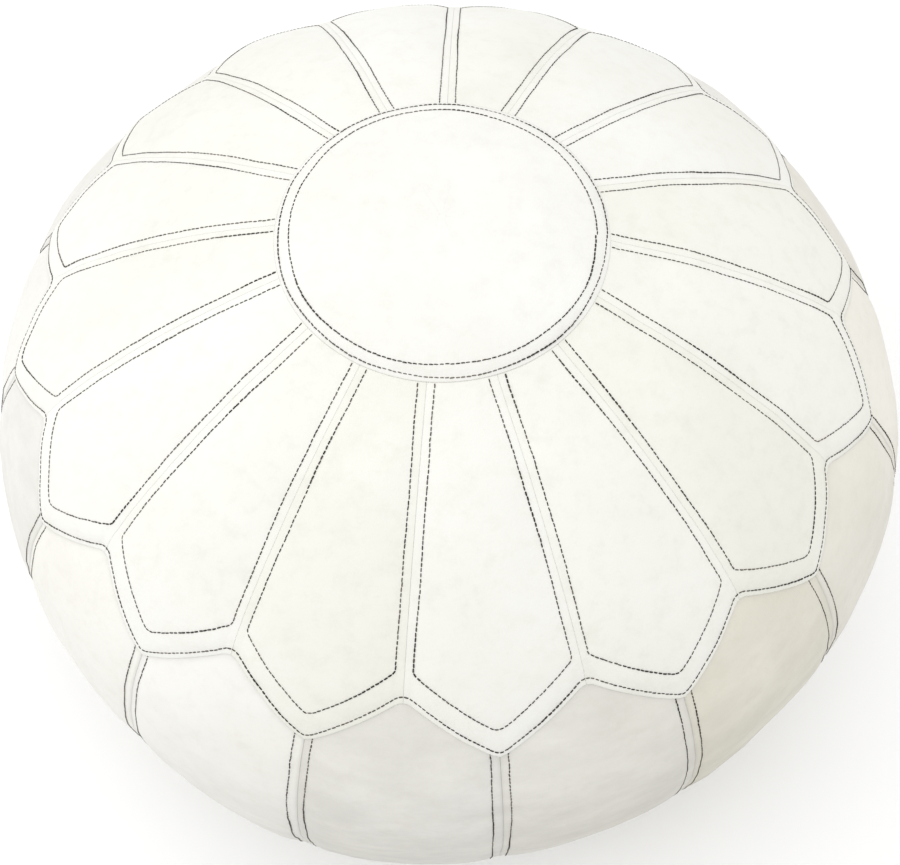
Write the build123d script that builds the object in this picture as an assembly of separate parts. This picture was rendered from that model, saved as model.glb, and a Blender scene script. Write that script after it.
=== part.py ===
from build123d import *
import os
from math import asin, cos, degrees, hypot, radians, sin

# Stuffed leather pouf: a domed cushion sewn from sixteen petals round a central medallion and
# sixteen side panels, closed below by a round base in two halves with a zip between them.
# Millimetres. The origin is the centre of the base on the floor, +Z is up and -Y is the front,
# where a seam between two petals runs straight down. The zip runs along Y.

# ---- driving dimensions -------------------------------------------------------------------
PANEL_COUNT = 16
BODY_RADIUS = 260.0            # the widest circle of the side panels
BELLY_HEIGHT = 131.0           # height of that circle above the floor
CROWN_RISE = 202.0             # from the widest circle to the top of the side panels' own surface
CROWN_FLATNESS = 1.79          # exponents of the crown's superellipse: radius, then height
CROWN_FULLNESS = 2.43
FOOT_RADIUS = 156.0            # where the side turns flat under the base
FOOT_FULLNESS = 2.1            # exponent of the side's curve below the widest circle

LEATHER = 1.5
LAP_GAP = 0.2                  # between two layers of leather that are sewn together
BUTT_GAP = 0.3                 # between two panels that meet edge to edge

MEDALLION_RADIUS = 76.5
MEDALLION_OVERLAP = 12.0       # how far the petals run in under the medallion
VALLEY_RADIUS = 202.0          # petal edge at a radial seam, its highest point
TIP_RADIUS = 224.0             # petal edge at the point of a petal, its lowest point
ZIGZAG_OVERLAP = 17.0          # how far the side panels run up under the petals
CUTTING_MARGIN = 6.0           # past the tip, on a sheet before its pointed end is cut
SIDE_TURN_IN = 8.0             # flat hem of the side panels, over the base

THREAD_WIDTH = 0.8
THREAD_HEIGHT = 0.45
THREAD_GAP = 0.05              # between a row of stitches and the leather under it
MEDALLION_ROWS = (2.7, 7.9)    # distances of the rows of stitches from the edge that they hold
ZIGZAG_ROW = 2.6               # the row that goes all the way round the pouf
PETAL_POINT_ROW = 13.0         # each petal's own row, from its pointed edge
PETAL_SEAM_ROW = 3.7           # and from its seams
SIDE_SEAM_ROW = 5.5
THREAD_START = 1.0             # from the edge of the sheet above to a row's end

BASE_RADIUS = 162.0
SLOT_HALF_WIDTH = 8.0          # opening between the base's halves, over the zip
SLOT_HALF_LENGTH = 143.0
HEM_WIDTH = 14.0
HEM_GAP = 1.2                  # between the two layers of the folded hem

TAPE_THICKNESS = 0.6
TAPE_INNER_EDGE = 2.2
TAPE_OUTER_EDGE = 20.0
TAPE_HALF_LENGTH = 148.0
TOOTH_PITCH = 3.0
TOOTH_WIDTH = 1.2              # along the zip
TOOTH_HEIGHT = 2.4
TOOTH_REACH = 0.9              # past the middle of the chain, between the other side's teeth
TOOTH_ROOT = 3.1

SLIDER_LENGTH = 11.0
SLIDER_WIDTH = 9.6
SLIDER_HEIGHT = 4.6
SLIDER_PLATE = 0.9
SLIDER_LIP_WIDTH = 1.2
SLIDER_LIP_LENGTH = 7.0
SLIDER_WEDGE = 2.4             # side of the square wedge that parts the teeth
WEDGE_Y = 3.4
BRIDGE_WIDTH = 1.8
BRIDGE_LENGTH = 6.4
BRIDGE_WALL = 0.75
SLIDER_REST_Y = 116.0
SLIDER_TRAVEL = 231.0
PULL_THICKNESS = 1.0
PULL_WIDTH = 6.6
PULL_LENGTH = 23.0
EYE_WIDTH = 5.4                # end of the pull that turns under the bridge
EYE_LENGTH = 7.0
EYE_WINDOW_WIDTH = 2.6
EYE_WINDOW_START = 0.3         # from the hinge, so that the eye's bar turns freely in the bridge
EYE_WINDOW_END = 5.9
STOP_LENGTH = 2.0              # along the zip
STOP_GAP = 0.7                 # between a stop and the slider at its end of travel

# ---- worked out from them -----------------------------------------------------------------
LAYER = LEATHER + LAP_GAP
PANEL_ARC = 360.0 / PANEL_COUNT
BUTT_ARC = degrees(BUTT_GAP / BODY_RADIUS)
FOOT_HEIGHT = LAYER
FOOT_DROP = BELLY_HEIGHT - FOOT_HEIGHT
HEM_TOP = 2 * LEATHER + HEM_GAP
CHAIN_HEIGHT = HEM_TOP + LAP_GAP + TAPE_THICKNESS / 2
HINGE_HEIGHT = CHAIN_HEIGHT - SLIDER_HEIGHT / 2 - 0.65
HALF_SPACE = 900.0             # a block larger than the whole pouf

# surfaces of the layers, as distances out from the side panels' surface
SIDE_LAYER = 0.0
PETAL_LAYER = LAYER
MEDALLION_LAYER = 2 * LAYER
STUFFING_LAYER = -LEATHER - BUTT_GAP


# ---- the pouf's outline, as the right half of a section ------------------------------------
def crown_angle(radius):
    """Angle along the crown's superellipse at a radius: 0 is the top and 90 the widest circle."""
    return degrees(asin((radius / BODY_RADIUS) ** (CROWN_FLATNESS / 2)))


def crown_point(angle, out):
    """Point of the crown, moved out along its normal."""
    across = sin(radians(angle)) ** (2 / CROWN_FLATNESS)
    up = max(cos(radians(angle)), 0.0) ** (2 / CROWN_FULLNESS)
    slope_r = CROWN_FLATNESS * across ** (CROWN_FLATNESS - 1) / BODY_RADIUS
    slope_z = CROWN_FULLNESS * up ** (CROWN_FULLNESS - 1) / CROWN_RISE
    size = hypot(slope_r, slope_z)
    radius = BODY_RADIUS * across + out * slope_r / size
    height = BELLY_HEIGHT + CROWN_RISE * up + out * slope_z / size
    return Vector(radius, 0, height)


def foot_point(angle, out):
    """Point of the side below its widest circle (0) as far as where it turns flat (90)."""
    across = max(cos(radians(angle)), 0.0) ** (2 / FOOT_FULLNESS)
    down = sin(radians(angle)) ** (2 / FOOT_FULLNESS)
    slope_r = across ** (FOOT_FULLNESS - 1) / (BODY_RADIUS - FOOT_RADIUS)
    slope_z = -(down ** (FOOT_FULLNESS - 1)) / FOOT_DROP
    size = hypot(slope_r, slope_z)
    radius = FOOT_RADIUS + (BODY_RADIUS - FOOT_RADIUS) * across + out * slope_r / size
    height = BELLY_HEIGHT - FOOT_DROP * down + out * slope_z / size
    return Vector(radius, 0, height)


def crown_points(start_radius, end_radius, out):
    """Evenly spaced points of the crown between two radii."""
    start = crown_angle(start_radius)
    end = crown_angle(end_radius)
    count = max(4, round((end - start) / 7))
    return [crown_point(start + (end - start) * i / count, out) for i in range(count + 1)]


def side_points(start_radius, out):
    """Points down the whole side, from a radius on the crown to where the side turns flat."""
    foot = [foot_point(15 * i, out) for i in range(1, 7)]
    return crown_points(start_radius, BODY_RADIUS, out) + foot


def skin_face(outer, inner, tail=0.0):
    """Section of a sheet between two outlines, with a flat tail towards the middle at its foot."""
    edges = [Spline(*outer), Spline(*inner), Line(outer[0], inner[0])]
    outer_end = outer[-1] - Vector(tail, 0, 0)
    inner_end = inner[-1] - Vector(tail, 0, 0)
    if tail:
        edges.append(Line(outer[-1], outer_end))
        edges.append(Line(inner[-1], inner_end))
    edges.append(Line(outer_end, inner_end))
    return make_face(edges)


def sector(face, arc):
    """A section turned through an arc about the pouf's axis, centred on +X."""
    return Rot(0, 0, -arc / 2) * revolve(face, Axis.Z, arc)


def crown_sector(start_radius, end_radius, out, thickness, arc):
    """Sheet on the crown whose outer surface is a given distance out from the side layer."""
    outer = crown_points(start_radius, end_radius, out)
    inner = crown_points(start_radius, end_radius, out - thickness)
    return sector(skin_face(outer, inner), arc)


# ---- the zigzag edge, as planes through the middle of the pouf ------------------------------
def surface_point(radius, angle):
    """Point of the petal layer at a radius and an angle round the pouf."""
    return crown_point(crown_angle(radius), PETAL_LAYER).rotate(Axis.Z, angle)


def zigzag_plane(inset, side):
    """Plane of one slanting edge of the petal centred on +X, facing the petal's middle.

    side is 1 for the edge that rises towards positive angles and -1 for its mirror image.
    inset moves it in from the edge, square to the edge.
    """
    tip = surface_point(TIP_RADIUS, 0)
    valley = surface_point(VALLEY_RADIUS, side * PANEL_ARC / 2)
    middle = Vector(0, 0, BELLY_HEIGHT)
    normal = (tip - middle).cross(valley - middle).normalized() * side
    if normal.Z < 0:
        normal = -normal
    return Plane(origin=tip + normal * inset, z_dir=normal)


def above(plane):
    """Everything on the side of a plane that it faces."""
    return plane * Box(HALF_SPACE, HALF_SPACE, HALF_SPACE, align=(Align.CENTER, Align.CENTER, Align.MIN))


def inside_zigzag(solid, inset):
    """The part of a solid inside the petal's two slanting edges."""
    for side in (1, -1):
        solid = solid & above(zigzag_plane(inset, side))
    return solid


def below_zigzag(solid, inset):
    """The part of a side panel centred on +X that is below the petals either side of it."""
    for side in (1, -1):
        neighbour = Rot(0, 0, -side * PANEL_ARC / 2)
        solid = solid - neighbour * above(zigzag_plane(inset, side))
    return solid


# ---- leather ------------------------------------------------------------------------------
def make_medallion():
    outer = crown_points(0, MEDALLION_RADIUS, MEDALLION_LAYER)
    inner = crown_points(0, MEDALLION_RADIUS, MEDALLION_LAYER - LEATHER)
    return revolve(skin_face(outer, inner), Axis.Z, 360)


def make_petal():
    start = MEDALLION_RADIUS - MEDALLION_OVERLAP
    end = TIP_RADIUS + CUTTING_MARGIN
    sheet = crown_sector(start, end, PETAL_LAYER, LEATHER, PANEL_ARC - BUTT_ARC)
    return inside_zigzag(sheet, 0)


def make_side_panel():
    start = VALLEY_RADIUS - ZIGZAG_OVERLAP - 10
    outer = side_points(start, SIDE_LAYER)
    inner = side_points(start, SIDE_LAYER - LEATHER)
    sheet = sector(skin_face(outer, inner, tail=SIDE_TURN_IN), PANEL_ARC - BUTT_ARC)
    return below_zigzag(sheet, ZIGZAG_OVERLAP)


def make_base_half():
    """Half of the round base on the +X side, with its edge along the zip folded back on itself."""
    disc = Cylinder(BASE_RADIUS, LEATHER, align=(Align.CENTER, Align.CENTER, Align.MIN))
    half = disc & Pos(BUTT_GAP / 2, 0, 0) * above(Plane.YZ)
    fold_radius = HEM_TOP / 2
    fold_x = SLOT_HALF_WIDTH + fold_radius
    half = half - Box(2 * fold_x, 2 * SLOT_HALF_LENGTH, 4 * LEATHER)
    fold = Circle(fold_radius) - Circle(fold_radius - LEATHER)
    fold = fold & Pos(-fold_radius, 0) * Rectangle(2 * fold_radius, 4 * fold_radius)
    run = HEM_WIDTH - fold_radius
    top_layer = Pos(run / 2, fold_radius - LEATHER / 2) * Rectangle(run, LEATHER)
    section = Plane.XZ * Pos(fold_x, fold_radius) * (fold + top_layer)
    hem = extrude(section, amount=SLOT_HALF_LENGTH, both=True)
    return half + hem


# ---- topstitching, each row as one continuous cord ------------------------------------------
def thread_sector(start_radius, end_radius, layer, arc):
    out = layer + THREAD_GAP + THREAD_HEIGHT
    return crown_sector(start_radius, end_radius, out, THREAD_HEIGHT, arc)


def make_medallion_thread():
    half = THREAD_WIDTH / 2
    rings = []
    for row in MEDALLION_ROWS:
        radius = MEDALLION_RADIUS - row
        rings.append(thread_sector(radius - half, radius + half, MEDALLION_LAYER, 360))
    return rings


def inside_row(solid, seam_inset, point_inset):
    """The part of a solid inside a line that follows the outline of the petal centred on +X."""
    for side in (1, -1):
        half_space = Box(HALF_SPACE, HALF_SPACE, HALF_SPACE, align=(Align.CENTER, Align.MAX, Align.CENTER))
        if side < 0:
            half_space = mirror(half_space, Plane.XZ)
        solid = solid & Rot(0, 0, side * PANEL_ARC / 2) * Pos(0, -side * seam_inset, 0) * half_space
    return inside_zigzag(solid, point_inset)


def make_petal_thread():
    """A petal's own row, centred on +X: out beside one seam, round its point and back."""
    half = THREAD_WIDTH / 2
    start = MEDALLION_RADIUS + THREAD_START
    strip = thread_sector(start, TIP_RADIUS + CUTTING_MARGIN, PETAL_LAYER, PANEL_ARC - BUTT_ARC)
    outer = inside_row(strip, PETAL_SEAM_ROW - half, PETAL_POINT_ROW - half)
    inner = inside_row(strip, PETAL_SEAM_ROW + half, PETAL_POINT_ROW + half)
    return outer - inner


def make_zigzag_thread():
    """The pointed row along the edge of the petal centred on +X."""
    half = THREAD_WIDTH / 2
    start = VALLEY_RADIUS - ZIGZAG_OVERLAP
    strip = thread_sector(start, TIP_RADIUS + CUTTING_MARGIN, PETAL_LAYER, PANEL_ARC - BUTT_ARC)
    return inside_zigzag(strip, ZIGZAG_ROW - half) - inside_zigzag(strip, ZIGZAG_ROW + half)


def make_side_seam_threads():
    """Two rows either side of the side seam that lies along +X, from the petal's tip downwards."""
    out = SIDE_LAYER + THREAD_GAP + THREAD_HEIGHT
    start = TIP_RADIUS + 4 * THREAD_START
    outer = side_points(start, out)[:-1]
    inner = side_points(start, out - THREAD_HEIGHT)[:-1]
    strip = sector(skin_face(outer, inner), PANEL_ARC / 2)
    return [strip & Pos(0, side * SIDE_SEAM_ROW, 0) * Box(HALF_SPACE, THREAD_WIDTH, HALF_SPACE)
            for side in (1, -1)]


# ---- the filling --------------------------------------------------------------------------
def make_stuffing():
    outline = crown_points(0, BODY_RADIUS, STUFFING_LAYER)
    outline += [foot_point(15 * i, STUFFING_LAYER) for i in range(1, 7)]
    top = outline[0]
    foot = outline[-1]
    floor_centre = Vector(0, 0, foot.Z)
    face = make_face([Spline(*outline), Line(foot, floor_centre), Line(floor_centre, top)])
    body = revolve(face, Axis.Z, 360)
    channel_width = 2 * (SLOT_HALF_WIDTH + HEM_WIDTH + 2)
    channel_height = CHAIN_HEIGHT + SLIDER_HEIGHT / 2 + 0.6
    channel = Box(channel_width, 2 * (TAPE_HALF_LENGTH + 2), 2 * channel_height)
    return body - channel


# ---- the zip ------------------------------------------------------------------------------
def make_tape():
    """Woven tape on the +X side, sewn on top of the base's hem."""
    width = TAPE_OUTER_EDGE - TAPE_INNER_EDGE
    centre = (TAPE_OUTER_EDGE + TAPE_INNER_EDGE) / 2
    return Pos(centre, 0, CHAIN_HEIGHT) * Box(width, 2 * TAPE_HALF_LENGTH, TAPE_THICKNESS)


def make_teeth(shift):
    """Teeth on the +X side. Each holds the tape's edge and reaches just past the middle."""
    length = TOOTH_ROOT + TOOTH_REACH
    tooth = Pos((TOOTH_ROOT - TOOTH_REACH) / 2, 0, CHAIN_HEIGHT) * Box(length, TOOTH_WIDTH, TOOTH_HEIGHT)
    slit_width = TOOTH_ROOT - TAPE_INNER_EDGE + 0.2
    slit = Box(slit_width, 2 * TOOTH_WIDTH, TAPE_THICKNESS + 0.1)
    tooth = tooth - Pos(TOOTH_ROOT - slit_width / 2 + 0.1, 0, CHAIN_HEIGHT) * slit
    first = -SLIDER_REST_Y
    count = int((2 * SLIDER_REST_Y) / TOOTH_PITCH)
    return [Pos(0, first + shift + i * TOOTH_PITCH, 0) * tooth for i in range(count)]


def make_top_stops():
    """Two small metal blocks on the tapes' edges, just past the closed slider's nose."""
    y = SLIDER_REST_Y + SLIDER_LENGTH / 2 + STOP_GAP + STOP_LENGTH / 2
    stop = Pos(TAPE_INNER_EDGE + 1.0, y, CHAIN_HEIGHT) * Box(2.4, STOP_LENGTH, TOOTH_HEIGHT)
    slit = Pos(TAPE_INNER_EDGE + 1.0, y, CHAIN_HEIGHT) * Box(3.0, 3.0, TAPE_THICKNESS + 0.1)
    lower_and_upper = stop - slit
    post = Pos(TAPE_INNER_EDGE - 0.15, y, CHAIN_HEIGHT) * Box(0.2, STOP_LENGTH, TOOTH_HEIGHT)
    right = lower_and_upper + post
    return [right, mirror(right, Plane.YZ)]


def make_bottom_stop():
    """One metal block across both tapes' edges, behind the fully open slider's tail."""
    y = SLIDER_REST_Y - SLIDER_TRAVEL - SLIDER_LENGTH / 2 - STOP_GAP - STOP_LENGTH / 2
    block = Pos(0, y, CHAIN_HEIGHT) * Box(2 * TOOTH_ROOT, STOP_LENGTH, TOOTH_HEIGHT)
    for side in (1, -1):
        x = side * (TAPE_INNER_EDGE + 1.0)
        block = block - Pos(x, y, CHAIN_HEIGHT) * Box(2.2, 3.0, TAPE_THICKNESS + 0.1)
    return block


def make_slider():
    """Two plates joined by a wedge at the nose, with lips round the teeth and a bridge below."""
    top = CHAIN_HEIGHT + SLIDER_HEIGHT / 2
    bottom = CHAIN_HEIGHT - SLIDER_HEIGHT / 2
    gap = SLIDER_HEIGHT - 2 * SLIDER_PLATE
    outline = RectangleRounded(SLIDER_WIDTH, SLIDER_LENGTH, 2.0)
    body = Pos(0, 0, bottom) * extrude(outline, SLIDER_PLATE)
    body += Pos(0, 0, top - SLIDER_PLATE) * extrude(outline, SLIDER_PLATE)
    wedge = Pos(0, WEDGE_Y) * Rot(0, 0, 45) * RectangleRounded(SLIDER_WEDGE, SLIDER_WEDGE, 0.4)
    body += Pos(0, 0, bottom + SLIDER_PLATE) * extrude(wedge, gap)
    tape_slit = TAPE_THICKNESS + 0.6
    lip_height = (gap - tape_slit) / 2
    lip = Box(SLIDER_LIP_WIDTH, SLIDER_LIP_LENGTH, lip_height)
    for side in (1, -1):
        for level in (1, -1):
            z = CHAIN_HEIGHT + level * (gap / 2 - lip_height / 2)
            body += Pos(side * (SLIDER_WIDTH - SLIDER_LIP_WIDTH) / 2, -0.2, z) * lip
    bridge_drop = bottom - HINGE_HEIGHT + 0.5 * PULL_THICKNESS + BRIDGE_WALL
    bridge = Pos(0, 0, bottom - bridge_drop / 2) * Box(BRIDGE_WIDTH, BRIDGE_LENGTH, bridge_drop)
    bridge_gap = Box(2 * BRIDGE_WIDTH, BRIDGE_LENGTH - 1.6, PULL_THICKNESS + 0.3)
    bridge -= Pos(0, 0, HINGE_HEIGHT) * bridge_gap
    return Pos(0, SLIDER_REST_Y, 0) * (body + bridge)


def make_pull():
    """Flat tab with an eye, whose end bar turns under the slider's bridge."""
    half = PULL_THICKNESS / 2
    neck = Pos(0, -EYE_LENGTH / 2) * Rectangle(EYE_WIDTH, EYE_LENGTH)
    window_middle = (EYE_WINDOW_START + EYE_WINDOW_END) / 2
    window = Pos(0, -window_middle) * Rectangle(EYE_WINDOW_WIDTH, EYE_WINDOW_END - EYE_WINDOW_START)
    tab = RectangleRounded(PULL_WIDTH, PULL_LENGTH - EYE_LENGTH + 1, 1.8)
    tab = Pos(0, -(PULL_LENGTH + EYE_LENGTH) / 2) * tab
    hole = Pos(0, -PULL_LENGTH + 4.5) * SlotOverall(6.0, 2.4, rotation=90)
    flat = extrude(neck + tab - window - hole, amount=half, both=True)
    bar = Rot(0, 90, 0) * Cylinder(half, EYE_WIDTH)
    return Pos(0, SLIDER_REST_Y, HINGE_HEIGHT) * (flat + bar)


# ---- all the pieces, by name ----------------------------------------------------------------
def around(shapes, angle):
    """Copies of some shapes turned about the pouf's axis."""
    return [Rot(0, 0, angle) * shape for shape in shapes]


def seam_angle(index):
    """Angle of a seam between petals: 0 is at the front and they go clockwise from above."""
    return -90.0 - PANEL_ARC * index


def all_pieces():
    petal = make_petal()
    side_panel = make_side_panel()
    base_half = make_base_half()
    tape = make_tape()
    pieces = {"stuffing": [make_stuffing()]}
    for index in range(PANEL_COUNT):
        pieces[f"side_panel_{index + 1:02d}"] = around([side_panel], seam_angle(index))
    for index in range(PANEL_COUNT):
        pieces[f"petal_{index + 1:02d}"] = around([petal], seam_angle(index + 0.5))
    pieces["top_medallion"] = [make_medallion()]
    pieces["base_right"] = [base_half]
    pieces["base_left"] = [mirror(base_half, Plane.YZ)]

    pieces["thread_medallion"] = make_medallion_thread()
    petal_row = make_petal_thread()
    zigzag_row = make_zigzag_thread()
    side_rows = make_side_seam_threads()
    pieces["thread_petals"] = []
    pieces["thread_zigzag"] = []
    pieces["thread_side_seams"] = []
    for index in range(PANEL_COUNT):
        pieces["thread_petals"] += around([petal_row], seam_angle(index + 0.5))
        pieces["thread_zigzag"] += around([zigzag_row], seam_angle(index + 0.5))
        pieces["thread_side_seams"] += around(side_rows, seam_angle(index + 0.5))

    pieces["zip_tape_right"] = [tape]
    pieces["zip_tape_left"] = [mirror(tape, Plane.YZ)]
    pieces["zip_teeth_right"] = make_teeth(0)
    pieces["zip_teeth_left"] = [mirror(tooth, Plane.YZ) for tooth in make_teeth(TOOTH_PITCH / 2)]
    pieces["zip_top_stops"] = make_top_stops()
    pieces["zip_bottom_stop"] = [make_bottom_stop()]
    pieces["zip_slider"] = [make_slider()]
    pieces["zip_pull"] = [make_pull()]
    return pieces


os.makedirs("parts", exist_ok=True)
for name, shapes in all_pieces().items():
    solids = [solid for shape in shapes for solid in shape.solids()]
    shape = solids[0] if len(solids) == 1 else Compound(children=solids)
    export_step(shape, f"parts/{name}.step")
print("slider travel", SLIDER_TRAVEL, "hinge at", SLIDER_REST_Y, round(HINGE_HEIGHT, 3))
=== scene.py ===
from math import cos, pi, radians, sin
import bpy
import numpy as np
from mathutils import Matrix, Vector, noise


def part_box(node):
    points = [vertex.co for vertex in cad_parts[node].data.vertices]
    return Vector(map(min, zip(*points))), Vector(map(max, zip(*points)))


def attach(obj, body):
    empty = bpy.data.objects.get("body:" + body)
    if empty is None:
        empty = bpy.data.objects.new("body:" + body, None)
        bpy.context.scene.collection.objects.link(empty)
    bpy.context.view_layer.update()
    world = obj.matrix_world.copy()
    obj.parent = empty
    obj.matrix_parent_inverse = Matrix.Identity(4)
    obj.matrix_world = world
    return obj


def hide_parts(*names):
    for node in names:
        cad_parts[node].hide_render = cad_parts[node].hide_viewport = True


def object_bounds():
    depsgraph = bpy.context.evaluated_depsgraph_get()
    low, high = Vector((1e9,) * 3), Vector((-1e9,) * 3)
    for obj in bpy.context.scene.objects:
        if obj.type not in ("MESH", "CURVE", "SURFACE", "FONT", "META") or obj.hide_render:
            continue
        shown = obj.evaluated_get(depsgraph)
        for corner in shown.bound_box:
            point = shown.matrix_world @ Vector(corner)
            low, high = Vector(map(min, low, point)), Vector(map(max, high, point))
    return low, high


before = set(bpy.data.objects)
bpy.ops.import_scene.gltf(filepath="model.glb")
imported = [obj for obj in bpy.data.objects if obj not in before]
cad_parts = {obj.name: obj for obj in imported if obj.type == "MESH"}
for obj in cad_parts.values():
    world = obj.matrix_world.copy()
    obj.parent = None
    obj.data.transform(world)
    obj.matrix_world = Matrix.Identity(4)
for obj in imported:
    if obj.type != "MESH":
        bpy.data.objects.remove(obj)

# Stuffed leather pouf. Metres, +Z up, -Y the front; the camera looks down from the front.
# Every sheet of leather is a grid over two surface coordinates: s, the distance along the
# pouf's outline from the middle of the top, and a, the angle round the pouf.
CAD_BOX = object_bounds()
MM = 0.001
RANDOM = np.random.default_rng(16)

# ---- sizes taken from the frame ---------------------------------------------------------------
PANELS = 16
SECTOR = 2 * pi / PANELS
BODY_RADIUS = (CAD_BOX[1][0] - CAD_BOX[0][0]) / 2
MEDALLION_RADIUS = (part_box("top_medallion")[1][0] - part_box("top_medallion")[0][0]) / 2 - 0.7 * MM
BASE_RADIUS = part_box("base_right")[1][0]
LEATHER = 1.5 * MM
LAYER = 1.7 * MM               # one sheet of leather and the gap under it
FOOT_HEIGHT = LAYER
CROWN_TOP = CAD_BOX[1][2] - 2 * LAYER
BELLY_HEIGHT = 131 * MM
FOOT_RADIUS = 156 * MM
CROWN_FLATNESS = 1.79
CROWN_FULLNESS = 2.43
FOOT_FULLNESS = 2.1
VALLEY_RADIUS = 202 * MM
TIP_RADIUS = 224 * MM

# distances of the rows of stitches from the edge or seam that they hold
MEDALLION_ROW = 2.0 * MM
MEDALLION_ROW_GAP = 5.6 * MM
ZIGZAG_ROWS = (2.6 * MM, 13.0 * MM)
PETAL_SEAM_ROW = 3.7 * MM
SIDE_SEAM_ROWS = (-4.7 * MM, 3.6 * MM)

# leather is pared thin along an edge that laps over another sheet
PARED_WIDTH = 8 * MM
PARED_SHARE = 0.16             # of the full thickness, at the very edge


# ---- the pouf's outline -----------------------------------------------------------------------
def make_outline():
    """Radius and height along the outline from the top's middle to the foot, by length."""
    turn = np.radians(np.linspace(0, 90, 1500))
    crown_r = BODY_RADIUS * np.sin(turn) ** (2 / CROWN_FLATNESS)
    crown_z = BELLY_HEIGHT + (CROWN_TOP - BELLY_HEIGHT) * np.cos(turn) ** (2 / CROWN_FULLNESS)
    foot_r = FOOT_RADIUS + (BODY_RADIUS - FOOT_RADIUS) * np.cos(turn) ** (2 / FOOT_FULLNESS)
    foot_z = BELLY_HEIGHT - (BELLY_HEIGHT - FOOT_HEIGHT) * np.sin(turn) ** (2 / FOOT_FULLNESS)
    tail_r = np.linspace(FOOT_RADIUS, FOOT_RADIUS - 12 * MM, 40)
    tail_z = np.full(40, FOOT_HEIGHT)
    radius = np.concatenate([crown_r, foot_r[1:], tail_r[1:]])
    height = np.concatenate([crown_z, foot_z[1:], tail_z[1:]])
    length = np.concatenate([[0], np.cumsum(np.hypot(np.diff(radius), np.diff(height)))])
    even = np.linspace(0, length[-1], 2400)
    return even, np.interp(even, length, radius), np.interp(even, length, height)


OUTLINE_S, OUTLINE_R, OUTLINE_Z = make_outline()
SLOPE_R = np.gradient(OUTLINE_R, OUTLINE_S)
SLOPE_Z = np.gradient(OUTLINE_Z, OUTLINE_S)
SMOOTH = np.ones(9) / 9
SLOPE_R[4:-4] = np.convolve(SLOPE_R, SMOOTH, "valid")
SLOPE_Z[4:-4] = np.convolve(SLOPE_Z, SMOOTH, "valid")
CROWN_END = int(np.argmax(OUTLINE_R))


def length_at(radius):
    """Distance along the outline to a radius on the crown."""
    return float(np.interp(radius, OUTLINE_R[:CROWN_END], OUTLINE_S[:CROWN_END]))


S_MEDALLION = length_at(MEDALLION_RADIUS)
S_VALLEY = length_at(VALLEY_RADIUS)
S_TIP = length_at(TIP_RADIUS)
S_END = float(OUTLINE_S[-1])
S_BELLY = float(OUTLINE_S[CROWN_END])
EDGE_HALF_WIDTH = (VALLEY_RADIUS + TIP_RADIUS) / 2 * SECTOR / 2
ZIGZAG_COS = EDGE_HALF_WIDTH / np.hypot(EDGE_HALF_WIDTH, S_TIP - S_VALLEY)


def seam_angle(index):
    """Angle of a petal seam: 0 is at the front, and they go clockwise from above."""
    return -pi / 2 - SECTOR * index


def seam_phase(a):
    """Position across a petal: 0 and 1 at its seams, 0.5 at its point."""
    return np.mod((a + pi / 2) / SECTOR, 1.0)


def bell(x, width):
    """1 at zero, fading away either side of it."""
    return np.exp(-(x / width) ** 2)


def near_angle(a, middle, spread):
    """1 at an angle round the pouf, in degrees, fading away either side of it."""
    return bell(np.mod(np.degrees(a) - middle + 180, 360) - 180, spread)


# ---- hand cutting --------------------------------------------------------------------------------
# the pattern strays from the regular one in slow waves
TURN_STRAY = radians(1.5)            # round the pouf, once per turn
TURN_STRAY_AT = radians(75)          # where it is largest
EDGE_STRAY = 2 * MM                  # along the outline
EDGE_STRAY_WAVES = 3
EDGE_STRAY_AT = radians(87)
BACK_REACH = 3 * MM                  # the petals at the back are cut a little longer
BACK_REACH_AT = 100                  # in degrees, as is its spread
BACK_REACH_SPREAD = 50
# the petals' corners, in half-widths of a petal: how round the points are, and where towards
# the seams their edge turns blunt and how softly
POINT_ROUNDING = 0.045
VALLEY_START = 0.95
VALLEY_ROUNDING = 0.018


def turn_stray(a):
    return TURN_STRAY * np.cos(a - TURN_STRAY_AT)


def edge_stray(a):
    reach = BACK_REACH * near_angle(a, BACK_REACH_AT, BACK_REACH_SPREAD)
    return EDGE_STRAY * np.cos(EDGE_STRAY_WAVES * (a - EDGE_STRAY_AT)) + reach


def zigzag_s(a):
    """Distance along the outline to the petals' pointed edge, its corners a little rounded."""
    off_point = np.abs(2 * seam_phase(a) - 1)
    rounded = np.sqrt(off_point ** 2 + POINT_ROUNDING ** 2)
    rounded = rounded - VALLEY_ROUNDING * np.logaddexp(0, (rounded - VALLEY_START) / VALLEY_ROUNDING)
    return S_TIP - (S_TIP - S_VALLEY) * rounded + edge_stray(a)


# ---- relief of the stuffed leather --------------------------------------------------------------
# the coarse grid that is simulated: columns per panel, and rows per kind of panel
PANEL_COLUMNS = 12
GRID_COLUMNS = PANEL_COLUMNS * PANELS
MEDALLION_STEPS = 7
PETAL_STEPS = 14
SIDE_STEPS = 32
EDGE_ROW = MEDALLION_STEPS + PETAL_STEPS      # the row on the petals' pointed edge
GRID_ROWS = EDGE_ROW + SIDE_STEPS


def grid_s(row, a):
    """Distance along the outline of a row of the coarse grid, whose rows follow the seams."""
    edge = zigzag_s(a)
    medallion = S_MEDALLION * row / MEDALLION_STEPS
    petal = S_MEDALLION + (edge - S_MEDALLION) * (row - MEDALLION_STEPS) / PETAL_STEPS
    side = edge + (S_END - edge) * (row - EDGE_ROW) / SIDE_STEPS
    return np.where(row <= MEDALLION_STEPS, medallion, np.where(row <= EDGE_ROW, petal, side))


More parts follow.
